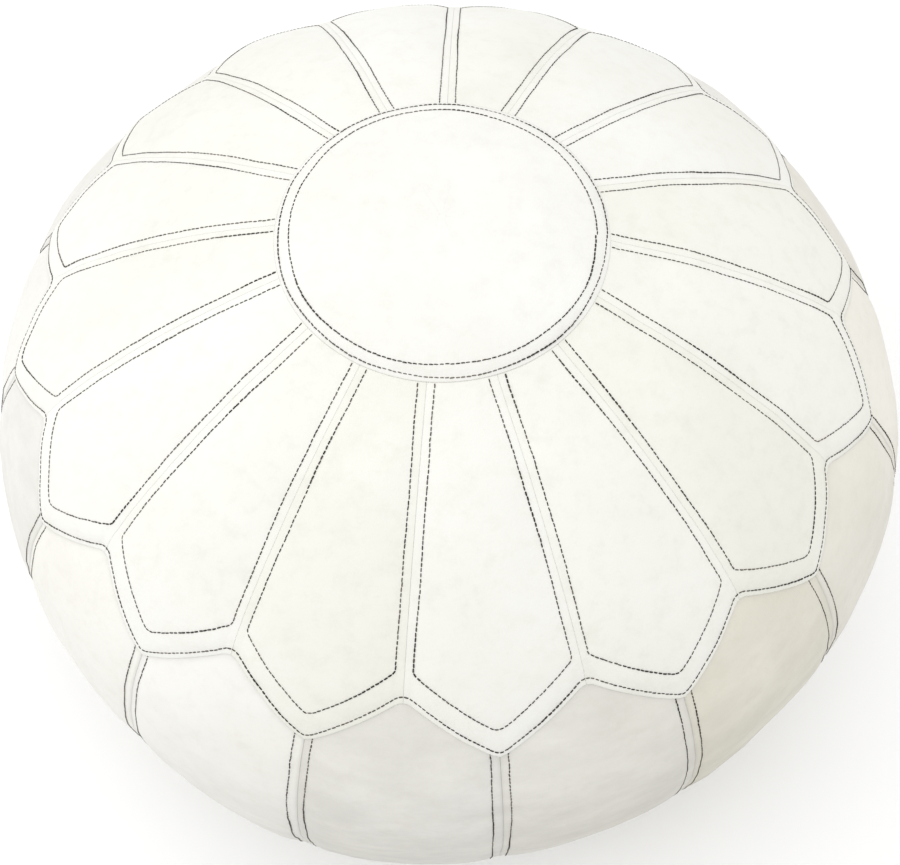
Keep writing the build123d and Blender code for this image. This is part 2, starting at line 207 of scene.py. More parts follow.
def grid_row(s, a):
    """The other way: the coarse grid's row, with its fraction, at a place on the pouf."""
    edge = zigzag_s(a)
    medallion = MEDALLION_STEPS * s / S_MEDALLION
    petal = MEDALLION_STEPS + PETAL_STEPS * (s - S_MEDALLION) / (edge - S_MEDALLION)
    side = EDGE_ROW + SIDE_STEPS * (s - edge) / (S_END - edge)
    return np.where(s <= S_MEDALLION, medallion, np.where(s <= edge, petal, side))


def pared(gap):
    """Share of the leather's full thickness at a distance from a pared edge."""
    x = np.clip(gap / PARED_WIDTH, 0, 1)
    return PARED_SHARE + (1 - PARED_SHARE) * x * x * (3 - 2 * x)


def side_lift(s, a):
    """The side panels' upper surface is the pouf's own: no lift, in an array of the right shape."""
    return 0.0 * (s + a)


def petal_lift(s, a):
    """Height of a petal's upper surface over the side panels' surface."""
    return LAYER - LEATHER + LEATHER * pared((zigzag_s(a) - s) * ZIGZAG_COS)


def medallion_lift(s, a):
    """Height of the medallion's upper surface over the side panels' surface."""
    return 2 * LAYER - LEATHER + LEATHER * pared(S_MEDALLION - s) + 0.0 * a


def bare_point(s, a, out):
    """Points of the smooth outline, a distance out along its normal."""
    r = np.interp(s, OUTLINE_S, OUTLINE_R)
    z = np.interp(s, OUTLINE_S, OUTLINE_Z)
    nr = -np.interp(s, OUTLINE_S, SLOPE_Z)
    nz = np.interp(s, OUTLINE_S, SLOPE_R)
    radius = r + out * nr
    turned = a + turn_stray(a)
    return np.stack([radius * np.cos(turned), radius * np.sin(turned), z + out * nz], axis=-1)


def new_piece(name, points, faces):
    mesh = bpy.data.meshes.new(name)
    mesh.from_pydata([tuple(p) for p in points], [], faces)
    mesh.update()
    mesh.polygons.foreach_set("use_smooth", [True] * len(mesh.polygons))
    piece = bpy.data.objects.new(name, mesh)
    bpy.context.scene.collection.objects.link(piece)
    return piece


def grid_faces(rows, columns, closed=False):
    """Quads of a grid whose points are stored row by row."""
    faces = []
    last = columns if closed else columns - 1
    for j in range(rows - 1):
        for i in range(last):
            k = (i + 1) % columns
            faces.append((j * columns + i, (j + 1) * columns + i, (j + 1) * columns + k, j * columns + k))
    return faces


def pinned(row, column):
    """True on the seams of the coarse grid, where the stitching holds the leather down."""
    across = column % PANEL_COLUMNS
    if row in (MEDALLION_STEPS, EDGE_ROW) or row >= GRID_ROWS - 1:
        return True
    if MEDALLION_STEPS < row < EDGE_ROW:
        return across == 0
    if row > EDGE_ROW:
        return across == PANEL_COLUMNS // 2
    return False


# the cover's cloth: how hard the filling presses, how much larger the leather is cut than the
# seams need, and how stiff it is
FILLING_PRESSURE = 4.0
SLACK = 0.009
STRETCH_STIFFNESS = 30
SHEAR_STIFFNESS = 10
BENDING_STIFFNESS = 6.0
CLOTH_STEPS = 20
LOWEST_SWELL = -2 * MM
HIGHEST_SWELL = 7 * MM


def make_cloth(cover):
    cloth = cover.modifiers.new("Cloth", "CLOTH")
    settings = cloth.settings
    settings.quality = 6
    settings.mass = 0.3
    settings.tension_stiffness = STRETCH_STIFFNESS
    settings.compression_stiffness = STRETCH_STIFFNESS
    settings.shear_stiffness = SHEAR_STIFFNESS
    settings.bending_stiffness = BENDING_STIFFNESS
    settings.use_pressure = True
    settings.uniform_pressure_force = FILLING_PRESSURE
    settings.shrink_min = -SLACK
    settings.vertex_group_mass = "seams"
    settings.effector_weights.gravity = 0
    cloth.point_cache.frame_start = 1
    cloth.point_cache.frame_end = CLOTH_STEPS


def swollen_points(cover):
    """Run the simulation and read where it leaves the cover's points."""
    scene = bpy.context.scene
    for step in range(1, CLOTH_STEPS + 1):
        scene.frame_set(step)
    swollen = cover.evaluated_get(bpy.context.evaluated_depsgraph_get()).data
    moved = np.empty(len(swollen.vertices) * 3)
    swollen.vertices.foreach_get("co", moved)
    return moved.reshape(-1, 3)


def smoothed(heights):
    """Each height averaged with its neighbours, first down the outline, then round the pouf."""
    for axis in (0, 1):
        before = np.roll(heights, 1, axis)
        after = np.roll(heights, -1, axis)
        if axis == 0:
            before[0] = heights[0]
            after[-1] = heights[-1]
        heights = 0.25 * before + 0.5 * heights + 0.25 * after
    return heights


def inflate():
    """Cloth simulation of the whole cover, swelling between its seams: heights over the grid."""
    angles = -pi / 2 + SECTOR * np.arange(GRID_COLUMNS) / PANEL_COLUMNS
    rows = np.arange(1, GRID_ROWS + 1)[:, None] * np.ones(GRID_COLUMNS)[None, :]
    a = np.ones(GRID_ROWS)[:, None] * angles[None, :]
    points = bare_point(grid_s(rows, a), a, 0.0).reshape(-1, 3)
    faces = grid_faces(GRID_ROWS, GRID_COLUMNS, closed=True)
    top = len(points)
    foot = top + 1
    last = (GRID_ROWS - 1) * GRID_COLUMNS
    poles = np.array([[0, 0, CROWN_TOP], [0, 0, FOOT_HEIGHT]])
    for i in range(GRID_COLUMNS):
        k = (i + 1) % GRID_COLUMNS
        faces.append((top, i, k))
        faces.append((foot, last + k, last + i))
    cover = new_piece("cover_simulation", np.concatenate([points, poles]), faces)
    holds = [r * GRID_COLUMNS + c for r in range(GRID_ROWS) for c in range(GRID_COLUMNS)
             if pinned(r + 1, c)]
    cover.vertex_groups.new(name="seams").add(holds + [foot], 1.0, "REPLACE")
    make_cloth(cover)
    moved = swollen_points(cover)[:top]
    normals = bare_point(grid_s(rows, a), a, 1.0).reshape(-1, 3) - points
    heights = np.sum((moved - points) * normals, axis=1).reshape(GRID_ROWS, GRID_COLUMNS)
    bpy.data.objects.remove(cover)
    bpy.context.scene.frame_set(1)
    return smoothed(np.clip(heights, LOWEST_SWELL, HIGHEST_SWELL))


SWELL = inflate()
print("swelling in mm, highest and mean:", round(SWELL.max() * 1000, 2), round(SWELL.mean() * 1000, 2))


def cubic_weights(f):
    """Weights of four neighbours for a smooth curve through a fraction between two of them."""
    return ((1 - f) ** 3 / 6, (3 * f ** 3 - 6 * f ** 2 + 4) / 6,
            (-3 * f ** 3 + 3 * f ** 2 + 3 * f + 1) / 6, f ** 3 / 6)


def swelling(s, a):
    """The simulated height at any place, read smoothly off the coarse grid."""
    row = np.clip(grid_row(s, a) - 1, 0, GRID_ROWS - 1)
    column = np.mod((a + pi / 2) / SECTOR * PANEL_COLUMNS, GRID_COLUMNS)
    r0 = np.floor(row).astype(int)
    c0 = np.floor(column).astype(int)
    total = 0.0
    for i, wr in enumerate(cubic_weights(row - r0)):
        r = np.clip(r0 + i - 1, 0, GRID_ROWS - 1)
        for k, wc in enumerate(cubic_weights(column - c0)):
            total = total + wr * wc * SWELL[r, np.mod(c0 + k - 1, GRID_COLUMNS)]
    return total


# hand-stuffed lumps and hollows of the body: angle round in degrees, size in mm, spread in degrees
LUMPS = ((85, 6, 50), (47, 7, 12), (74, 2.5, 8), (26, -4, 6), (-8, 4.5, 12), (123, 9, 7),
         (139, -5.5, 9), (159, 3, 6), (177, -1.8, 12), (-148, -6.5, 32), (-122, -2, 12),
         (-66, -4.5, 24), (-44, -2, 7))
LUMP_CENTRE = S_BELLY - 3 * MM
LUMP_REACH = 90 * MM


def lumps(s, a):
    """Height of the body's lumps, which fade away above and below its widest part."""
    total = 0.0
    for angle, size, spread in LUMPS:
        total = total + size * MM * near_angle(a, angle, spread)
    return total * bell(s - LUMP_CENTRE, LUMP_REACH)


def seam_distance(s, a):
    """Distances from the nearest petal seam and from the nearest side seam."""
    r = np.interp(s, OUTLINE_S, OUTLINE_R)
    phase = seam_phase(a)
    to_petal_seam = np.minimum(phase, 1 - phase) * SECTOR * r
    to_side_seam = np.abs(phase - 0.5) * SECTOR * r
    return to_petal_seam, to_side_seam


def creases(s, a):
    """Fine creases and puckers, strongest beside the seams."""
    flat_s = np.ravel(s + 0 * a)
    flat_a = np.ravel(a + 0 * s)
    place = bare_point(flat_s, flat_a, 0.0)
    wide = np.array([noise.noise(Vector(p) * 22) for p in place])
    fine = np.array([noise.noise(Vector(p) * 75 + Vector((7, 3, 1))) for p in place])
    flattened = place * np.array([34, 34, 60])
    ridged = np.array([abs(noise.noise(Vector(p) + Vector((2, 9, 4)))) for p in flattened])
    petal_seam, side_seam = seam_distance(flat_s, flat_a)
    edge = np.abs(zigzag_s(flat_a) - flat_s)
    nearest = np.where(flat_s < zigzag_s(flat_a), petal_seam, side_seam)
    nearest = np.minimum(nearest, edge)
    by_seam = bell(nearest, 14 * MM)
    on_side = 1 / (1 + np.exp(-(flat_s - S_TIP) / (12 * MM)))
    height = 0.5 * wide + (0.16 + 0.22 * by_seam) * fine + (0.1 + 0.8 * on_side) * (0.18 - ridged)
    return (height * MM).reshape(np.shape(s + 0 * a))


def relief(s, a):
    """Height of the leather over the smooth outline, alike in all the layers at a place."""
    petal_seam, side_seam = seam_distance(s, a)
    edge_gap = (zigzag_s(a) - s) * ZIGZAG_COS
    on_petals = 1 / (1 + np.exp(-edge_gap / (0.5 * MM)))
    on_sides = 1 - on_petals
    past_medallion = 1 / (1 + np.exp(-(s - S_MEDALLION) / (1.0 * MM)))
    height = swelling(s, a) + lumps(s, a) + creases(s, a)
    rows = bell(petal_seam - PETAL_SEAM_ROW, 1.1 * MM)
    height = height - on_petals * past_medallion * MM * (0.16 * rows + 0.10 * bell(petal_seam, 5 * MM))
    rows = bell(side_seam - SIDE_SEAM_ROWS[1], 1.8 * MM)
    height = height - on_sides * MM * (0.25 * rows + 0.55 * bell(side_seam, 7 * MM))
    for row in ZIGZAG_ROWS:
        height = height - 0.16 * MM * bell(edge_gap - row, 1.2 * MM)
    height = height - on_sides * 0.2 * MM * bell(edge_gap, 6 * MM)
    for row in (MEDALLION_ROW, MEDALLION_ROW + MEDALLION_ROW_GAP):
        height = height - 0.14 * MM * bell(S_MEDALLION - row - s, 1.2 * MM)
    height = height - past_medallion * 0.12 * MM * bell(s - S_MEDALLION, 5 * MM)
    settle = np.clip((S_END - s) / (60 * MM), 0, 1)
    return height * settle


def surface(s, a, lift):
    """Points on the outer surface of one sheet of leather, whose lift is a function of place."""
    return bare_point(s, a, lift(s, a) + relief(s, a))


# ---- sheets of leather -----------------------------------------------------------------------
SEAM_SLIT = 0.02 * MM           # half of the slit between two sheets at a seam
EDGE_STEPS = np.array([0, 0.35, 0.8, 1.4, 2.1, 2.9, 3.7, 4.6, 5.6, 6.8, 8.2, 10.0]) * MM


def edge_drop(distance, depth):
    """How far a sheet's surface turns down at a cut or turned edge."""
    return depth * bell(distance, 0.7 * MM)


def across_steps(half_width, inner_count):
    """Distances from one edge to the middle of a panel: close together beside the edge."""
    inner = np.linspace(0, 1, inner_count + 1)[1:]
    reach = half_width - EDGE_STEPS[-1]
    return np.concatenate([EDGE_STEPS, EDGE_STEPS[-1] + inner * reach])


def thicken(piece, shares=None):
    """Give a sheet its thickness below its surface, less where the leather is pared."""
    solidify = piece.modifiers.new("Thickness", "SOLIDIFY")
    solidify.thickness = LEATHER
    solidify.offset = -1.0
    if shares is None:
        return
    group = piece.vertex_groups.new(name="pared")
    for number, share in enumerate(np.ravel(shares)):
        group.add([number], float(share), "REPLACE")
    solidify.vertex_group = "pared"


def paint(piece, name, values):
    """Store one number per point for a material to read."""
    layer = piece.data.attributes.new(name, "FLOAT", "POINT")
    layer.data.foreach_set("value", np.asarray(values, dtype=float).ravel())


def panel_grid(centre, s_rows, edge_distance, inner_count):
    """Angles of a grid over one panel, from its left edge to its right edge on every row."""
    angles = []
    for s in s_rows:
        half = SECTOR / 2
        radius = float(np.interp(s, OUTLINE_S, OUTLINE_R))
        steps = across_steps(half * radius - edge_distance, inner_count) / radius
        left = -half + edge_distance / radius + steps
        angles.append(np.concatenate([left, -left[-2::-1]]))
    return centre + np.array(angles)


def finish_sheet(name, points, rows, columns, tone, edge, shares=None):
    piece = new_piece(name, points.reshape(-1, 3), grid_faces(rows, columns))
    thicken(piece, shares)
    paint(piece, "tone", tone + np.zeros(rows * columns))
    paint(piece, "edge", edge)
    return piece


PETAL_TUCK = 9 * MM             # how far a petal runs in under the medallion
SIDE_TUCK = 16 * MM             # and a side panel up under the petals
PETAL_END_STEPS = np.concatenate([EDGE_STEPS, np.array([11.3, 12.4, 13.4, 14.5, 16.0]) * MM])
MEDALLION_COLUMNS = 240
MEDALLION_TONE = 0.05
BASE_TONE = 0.5


def make_petal(index, tone):
    """Petal between two radial seams, pointed at its outer end, its inner end under the medallion."""
    centre = seam_angle(index + 0.5)
    s_start = S_MEDALLION - PETAL_TUCK
    from_edge = PETAL_END_STEPS / ZIGZAG_COS
    plain = np.linspace(0, 1, 50)
    near = S_VALLEY - from_edge[-1]
    rough_s = np.concatenate([s_start + (near - s_start) * plain, S_VALLEY - from_edge[-2::-1]])
    a = panel_grid(centre, rough_s, SEAM_SLIT, 12)
    edge_s = zigzag_s(a)
    shift = edge_s - S_VALLEY
    share = np.clip((rough_s - s_start) / (near - s_start), 0, 1)[:, None]
    s = rough_s[:, None] + shift * share
    radius = np.interp(s, OUTLINE_S, OUTLINE_R)
    seam_gap = (SECTOR / 2 - np.abs(a - centre)) * radius
    end_gap = (edge_s - s) * ZIGZAG_COS
    drop = edge_drop(seam_gap, 0.05 * MM) + edge_drop(end_gap, 0.12 * MM)
    points = bare_point(s, a, petal_lift(s, a) + relief(s, a) - drop)
    # painted shade along the petal's seams and its pointed edge
    edge = np.maximum(0.12 * bell(seam_gap, 0.8 * MM), 0.6 * bell(end_gap, 1.0 * MM))
    shares = pared(end_gap)
    return finish_sheet(f"leather_petal_{index + 1:02d}", points, *s.shape, tone, edge, shares)


SHADE_AT = -65                  # angle round the pouf of the deepest painted shade, in degrees, as is its spread
SHADE_SPREAD = 50


def foot_shade(s, a):
    """Painted shade that deepens towards the foot, most of all right of the front."""
    down = np.clip((s - S_TIP) / (S_BELLY - S_TIP + 30 * MM), 0, 1) ** 1.5
    return down * (0.45 + 1.1 * near_angle(a, SHADE_AT, SHADE_SPREAD))


# side panels whose leather differs: how yellow they are, and how much greyer or paler
YELLOWED_SIDES = {11: 0.5, 12: 0.6, 13: 0.6, 14: 0.9, 15: 0.15, 2: 0.2}
GREY_SIDES = {12: -0.2, 13: -0.1, 14: 0.1, 15: 0.25, 0: 0.1, 1: -0.15, 2: -0.15}


def make_side_panel(index, tone):
    """Side panel with a pointed top end under two petals, running down to the base."""
    centre = seam_angle(index)
    hidden = SIDE_TUCK / ZIGZAG_COS
    s_rows = np.concatenate([np.linspace(-hidden, -1 * MM, 8), np.linspace(0, 14 * MM, 12),
                             np.linspace(17 * MM, S_END - S_VALLEY, 96)])
    a = panel_grid(centre, S_VALLEY + s_rows, SEAM_SLIT, 13)
    edge_s = zigzag_s(a)
    fade = np.clip(1 - s_rows / (S_END - S_VALLEY), 0, 1)[:, None]
    s = S_VALLEY + s_rows[:, None] + (edge_s - S_VALLEY) * fade
    radius = np.interp(s, OUTLINE_S, OUTLINE_R)
    seam_gap = (SECTOR / 2 - np.abs(a - centre)) * radius
    drop = edge_drop(seam_gap, 0.3 * MM)
    points = bare_point(s, a, side_lift(s, a) + relief(s, a) - drop)
    # painted shade along the side panel's seams and under the petals' lapped edge
    edge = np.maximum(bell(seam_gap, 1.4 * MM), bell(s - edge_s, 2 * MM) * 0.6)
    # a side panel's tone is its hide's own tone plus painted shade that deepens towards the foot
    tone_values = tone + foot_shade(s, a).ravel()
    piece = finish_sheet(f"leather_side_{index + 1:02d}", points, *s.shape, tone_values, edge)
    paint(piece, "cream", np.full(s.size, YELLOWED_SIDES.get(index, 0.0)))
    return piece


def make_medallion():
    """Round medallion, its cut edge lying on the petals."""
    columns = MEDALLION_COLUMNS
    rings = np.concatenate([np.linspace(0.03, 1, 34) * (S_MEDALLION - 10 * MM),
                            S_MEDALLION - EDGE_STEPS[-2::-1]])
    angles = np.linspace(0, 2 * pi, columns, endpoint=False)
    s = rings[:, None] * np.ones(columns)[None, :]
    a = np.ones(len(rings))[:, None] * angles[None, :]
    drop = edge_drop(S_MEDALLION - s, 0.12 * MM)
    points = bare_point(s, a, medallion_lift(s, a) + relief(s, a) - drop).reshape(-1, 3)
    faces = grid_faces(len(rings), columns, closed=True)
    faces.append(tuple(range(columns)))
    piece = new_piece("leather_medallion", points, faces)
    thicken(piece, pared(S_MEDALLION - s))
    paint(piece, "tone", np.full(len(points), MEDALLION_TONE))
    # painted shade along the medallion's edge
    paint(piece, "edge", 0.6 * bell(S_MEDALLION - s, 1.2 * MM))
    return piece


# ---- stitches ----------------------------------------------------------------------------------
STITCH_PITCH = 2.3 * MM
STITCH_LENGTH = 2.2 * MM
THREAD_RADIUS = 0.29 * MM
# one stitch is a bowed capsule: its rings along its length, their sizes and their heights
RING_AT = np.array([-0.5, -0.38, 0.0, 0.38, 0.5])
RING_SIZE = np.array([0.5, 0.95, 1.05, 0.95, 0.5])
RING_LIFT = np.array([-0.8, 0.15, 0.55, 0.15, -0.8])
THREAD_SIDES = 5


def row_of_stitches(s, a, lift, wobble=0.22, faded=0.0):
    """Places, directions, normals, sizes and wear of the stitches along a row of close points."""
    path = surface(s, a, lift)
    above = bare_point(s, a, lift(s, a) + relief(s, a) + 1 * MM)
    gaps = np.linalg.norm(np.diff(path, axis=0), axis=1)
    length = np.concatenate([[0], np.cumsum(gaps)])
    count = int(length[-1] / STITCH_PITCH)
    at = (np.arange(count) + 0.5) * length[-1] / count
    at = at + RANDOM.normal(0, 0.1 * MM, count)
    half = 0.5 * STITCH_PITCH

    def along(where, source):
        return np.stack([np.interp(where, length, source[:, i]) for i in range(3)], axis=1)

    centre = along(at, path)
    direction = along(at + half, path) - along(at - half, path)
    direction /= np.linalg.norm(direction, axis=1, keepdims=True)
    normal = along(at, above) - centre
    normal /= np.linalg.norm(normal, axis=1, keepdims=True)
    sideways = np.cross(normal, direction)
    direction = direction + sideways * RANDOM.normal(0, 0.05, count)[:, None]
    phases = RANDOM.uniform(0, 6, 4)
    slow = np.sin(at / (21 * MM) + phases[0]) + 0.6 * np.sin(at / (8 * MM) + phases[1])
    offset = wobble * MM * slow + RANDOM.normal(0, 0.06 * MM, count)
    centre = centre + sideways * offset[:, None]
    heavy = np.clip(np.sin(at / (26 * MM) + phases[2]) - 0.75, 0, 1) * 1.6
    size = THREAD_RADIUS * (RANDOM.uniform(0.85, 1.12, count) + heavy)
    pale = 0.20 + 0.28 * np.sin(at / (17 * MM) + phases[3]) - heavy
    pale = pale + np.interp(at, length, faded + 0 * length)
    tone_values = np.clip(pale + RANDOM.normal(0, 0.12, count), 0, 1)
    return centre, direction, normal, size, tone_values


def stitch_mesh(name, rows):
    """One mesh of many small stitches, each a bowed capsule that dips into the leather."""
    centre, direction, normal, size, tone_values = [np.concatenate(column) for column in zip(*rows)]
    sideways = np.cross(normal, direction)
    count = len(centre)
    reach = STITCH_LENGTH * RANDOM.uniform(0.92, 1.06, count)
    turn = 2 * pi * np.arange(THREAD_SIDES) / THREAD_SIDES
    points = np.empty((count, len(RING_AT), THREAD_SIDES, 3))
    for i, (at, ring, lift) in enumerate(zip(RING_AT, RING_SIZE, RING_LIFT)):
        middle = centre + direction * (reach * at)[:, None] + normal * (THREAD_RADIUS * lift)
        for k, angle in enumerate(turn):
            spoke = sideways * cos(angle) + normal * sin(angle) * 0.85
            points[:, i, k] = middle + spoke * (size * ring)[:, None]
    faces = []
    block = len(RING_AT) * THREAD_SIDES
    for n in range(count):
        first = n * block
        for i in range(len(RING_AT) - 1):
            for k in range(THREAD_SIDES):
                p = first + i * THREAD_SIDES + k
                q = first + i * THREAD_SIDES + (k + 1) % THREAD_SIDES
                faces.append((p, q, q + THREAD_SIDES, p + THREAD_SIDES))
        faces.append(tuple(first + k for k in reversed(range(THREAD_SIDES))))
        faces.append(tuple(first + block - THREAD_SIDES + k for k in range(THREAD_SIDES)))
    piece = new_piece(name, points.reshape(-1, 3), faces)
    paint(piece, "tone", np.repeat(tone_values, block))
    print(name, count, "stitches")
    return piece


def medallion_stitches():
    a = np.linspace(0, 2 * pi, 1200)
    outer = S_MEDALLION - MEDALLION_ROW + 0.4 * MM * np.sin(3 * a)
    inner = S_MEDALLION - MEDALLION_ROW - MEDALLION_ROW_GAP + 0.8 * MM * np.cos(a + pi / 2)
    outer_fade = 0.6 * near_angle(a, -100, 40) - 0.2 * near_angle(a, 180, 40)
    inner_fade = 0.5 * near_angle(a, 90, 60) - 0.4 * near_angle(a, -110, 75)
    return stitch_mesh("stitches_medallion", [
        row_of_stitches(outer, a, medallion_lift, 0.42, outer_fade),
        row_of_stitches(inner, a, medallion_lift, 0.42, inner_fade)])


def petal_side(index, side):
    """The straight part of a petal's row beside one of its seams, from the medallion outwards."""
    zig = ZIGZAG_ROWS[1] / ZIGZAG_COS
    end = S_VALLEY - zig
    for _ in range(4):
        s = np.linspace(S_MEDALLION + 0.5 * MM, end, 400)
        a = side * (SECTOR / 2 - PETAL_SEAM_ROW / np.interp(s, OUTLINE_S, OUTLINE_R))
        end = float(zigzag_s(seam_angle(index + 0.5) + a[-1])) - zig
    return s, a


CORNER_SMOOTHING = 3.2 * MM


def petal_row(index):
    """The row of stitches round one petal: out beside one seam, round its point and back."""
    out_s, out_a = petal_side(index, 1)
    back_s, back_a = petal_side(index, -1)
    point_a = np.linspace(out_a[-1], back_a[-1], 400)[1:-1]
    point_s = zigzag_s(seam_angle(index + 0.5) + point_a) - ZIGZAG_ROWS[1] / ZIGZAG_COS
    s = np.concatenate([out_s, point_s, back_s[::-1]])
    a = np.concatenate([out_a, point_a, back_a[::-1]])
    radius = np.interp(s, OUTLINE_S, OUTLINE_R)
    step = np.concatenate([[0], np.cumsum(np.hypot(np.diff(s), np.diff(a) * radius[1:]))])
    even = np.linspace(0, step[-1], 1000)
    span = int(CORNER_SMOOTHING / (step[-1] / len(even)))
    window = np.hanning(2 * span + 3)[1:-1]
    window /= window.sum()
    smooth = []
    for values in (np.interp(even, step, s), np.interp(even, step, a)):
        padded = np.concatenate([2 * values[0] - values[span:0:-1], values,
                                 2 * values[-1] - values[-2:-span - 2:-1]])
        smooth.append(np.convolve(padded, window, "valid"))
    return smooth[0], seam_angle(index + 0.5) + smooth[1]


def petal_stitches():
    rows = []
    for index in range(PANELS):
        s, a = petal_row(index)
        rows.append(row_of_stitches(s, a, petal_lift, 0.2, 0.3 * near_angle(a, 175, 50)))
    return stitch_mesh("stitches_petals", rows)


def zigzag_stitches():
    a = np.linspace(0, 2 * pi, 9000)
    s = zigzag_s(a) - ZIGZAG_ROWS[0] / ZIGZAG_COS
    row = row_of_stitches(s, a, petal_lift, 0.15, 0.4 * near_angle(a, -178, 40))
    return stitch_mesh("stitches_zigzag", [row])


def side_seam_stitches():
    rows = []
    for index in range(PANELS):
        for row in SIDE_SEAM_ROWS:
            start = S_TIP
            for _ in range(3):
                s = np.linspace(start, S_END - 26 * MM, 700)
                a = seam_angle(index + 0.5) + row / np.interp(s, OUTLINE_S, OUTLINE_R)
                start = float(zigzag_s(a[0])) - 0.6 * MM
            rows.append(row_of_stitches(s, a, side_lift, 0.3, 0.5 * near_angle(a, 180, 45)))
    return stitch_mesh("stitches_side_seams", rows)


# ---- stuffing and base ---------------------------------------------------------------------------
STUFFING_INSET = 8 * MM
STUFFING_LIFT = 5 * MM          # of its lowest part, over the solid that it replaces
SLOT_HALF_WIDTH = 8 * MM        # opening between the base's halves, over the zip
SLOT_HALF_LENGTH = 143 * MM
HALVES_GAP = 0.2 * MM           # from the middle to each half, past the ends of the slot


def make_stuffing():
    """Packed filling inside the cover: a lumpy closed body a little smaller than it."""
    rows = np.arange(1, GRID_ROWS)
    columns = np.arange(0, GRID_COLUMNS, 2)
    angles = -pi / 2 + SECTOR * columns / PANEL_COLUMNS
    a = np.ones(len(rows))[:, None] * angles[None, :]
    s = grid_s(rows[:, None] * np.ones(len(columns))[None, :], a)
    points = bare_point(s, a, relief(s, a) - STUFFING_INSET)
    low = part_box("stuffing")[0][2] + STUFFING_LIFT
    points[..., 2] = np.maximum(points[..., 2], low)
    points = points.reshape(-1, 3)
    faces = grid_faces(len(rows), len(columns), closed=True)
    count = len(columns)
    faces.append(tuple(range(count)))
    faces.append(tuple(len(points) - 1 - i for i in range(count)))
    piece = new_piece("stuffing_body", points, faces)
    paint(piece, "tone", np.zeros(len(points)))
    paint(piece, "edge", np.zeros(len(points)))
    return piece


def base_height(x, y):
    """Height of the base's underside: flat on the floor, gathered a little towards its rim."""
    radius = np.hypot(x, y)
    angle = np.arctan2(y, x)
    gather = 0.5 + 0.5 * np.sin(48 * angle + 3 * np.sin(5 * angle))
    near_rim = np.clip((radius - 0.80 * BASE_RADIUS) / (0.20 * BASE_RADIUS), 0, 1) ** 1.5
    slow = 0.5 + 0.5 * np.sin(x * 61 + 2) * np.sin(y * 47 + 1)
    return 0.5 * MM * slow + 0.7 * MM * gather * near_rim


def make_base_half(name, side):
    """Half of the base: a sheet with a folded hem beside the zip and a gathered rim."""
    rows = 120
    columns = 50
    y = np.linspace(-1, 1, rows)
    y = BASE_RADIUS * np.sin(y * pi / 2) * 0.9985
    points = []
    for value in y:
        reach = np.sqrt(BASE_RADIUS ** 2 - value ** 2)
        inner = HALVES_GAP if abs(value) > SLOT_HALF_LENGTH else SLOT_HALF_WIDTH
        inner = min(inner, reach - 0.1 * MM)
        share = np.linspace(0, 1, columns) ** 1.15
        x = inner + (reach - inner) * share
        z = base_height(x, value)
        turned = bell(x - inner, 1.2 * MM) * (1.0 * MM if inner > 1 * MM else 0.3 * MM)
        rim = bell(np.hypot(x, value) - BASE_RADIUS, 1.2 * MM) * 0.5 * MM
        points.append(np.stack([side * x, np.full(columns, value), z + turned + rim], axis=1))
    faces = grid_faces(rows, columns)
    if side < 0:
        faces = [tuple(reversed(face)) for face in faces]
    piece = new_piece(name, np.concatenate(points), faces)
    thicken(piece)
    x = np.concatenate(points)[:, 0]
    paint(piece, "tone", np.full(rows * columns, BASE_TONE))
    # painted shade beside the slot over the zip
    paint(piece, "edge", bell(np.abs(x) - SLOT_HALF_WIDTH, 2.5 * MM))
    return piece


# ---- materials -----------------------------------------------------------------------------------
def material(name):
    made = bpy.data.materials.new(name)
    made.use_nodes = True
    nodes = made.node_tree.nodes
    links = made.node_tree.links
    return made, nodes, links, nodes["Principled BSDF"]


def noise_node(nodes, links, scale, detail, rough=0.55):
    place = nodes.new("ShaderNodeTexCoord")
    texture = nodes.new("ShaderNodeTexNoise")
    texture.inputs["Scale"].default_value = scale
    texture.inputs["Detail"].default_value = detail
    texture.inputs["Roughness"].default_value = rough
    links.new(place.outputs["Object"], texture.inputs["Vector"])
    return texture.outputs["Fac"]


def ramp(nodes, links, source, low, high, start=0.35, end=0.65):
    node = nodes.new("ShaderNodeValToRGB")
    node.color_ramp.elements[0].position = start
    node.color_ramp.elements[0].color = (*low, 1)
    node.color_ramp.elements[1].position = end
    node.color_ramp.elements[1].color = (*high, 1)
    links.new(source, node.inputs["Fac"])
    return node.outputs["Color"]


def mix_colour(nodes, links, factor, first, second, kind="MIX"):
    node = nodes.new("ShaderNodeMix")
    node.data_type = "RGBA"
    node.blend_type = kind
    if hasattr(factor, "is_linked"):
        links.new(factor, node.inputs["Factor"])
    else:
        node.inputs["Factor"].default_value = factor
    for value, socket in ((first, "A"), (second, "B")):
        target = [i for i in node.inputs if i.name == socket and i.type == "RGBA"][0]
        if hasattr(value, "is_linked"):
            links.new(value, target)
        else:
            target.default_value = (*value, 1)
    return [o for o in node.outputs if o.type == "RGBA"][0]


def attribute(nodes, name):
    node = nodes.new("ShaderNodeAttribute")
    node.attribute_name = name
    return node.outputs["Fac"]


def multiply(nodes, links, source, factor, clamp=False):
    """A value times another one, which is a number or a socket."""
    node = nodes.new("ShaderNodeMath")
    node.operation = "MULTIPLY"
    node.use_clamp = clamp
    links.new(source, node.inputs[0])
    if hasattr(factor, "is_linked"):
        links.new(factor, node.inputs[1])
    else:
        node.inputs[1].default_value = factor
    return node.outputs[0]


def bump(nodes, links, height, strength, distance):
    node = nodes.new("ShaderNodeBump")
    node.inputs["Strength"].default_value = strength
    node.inputs["Distance"].default_value = distance
    links.new(height, node.inputs["Height"])
    return node


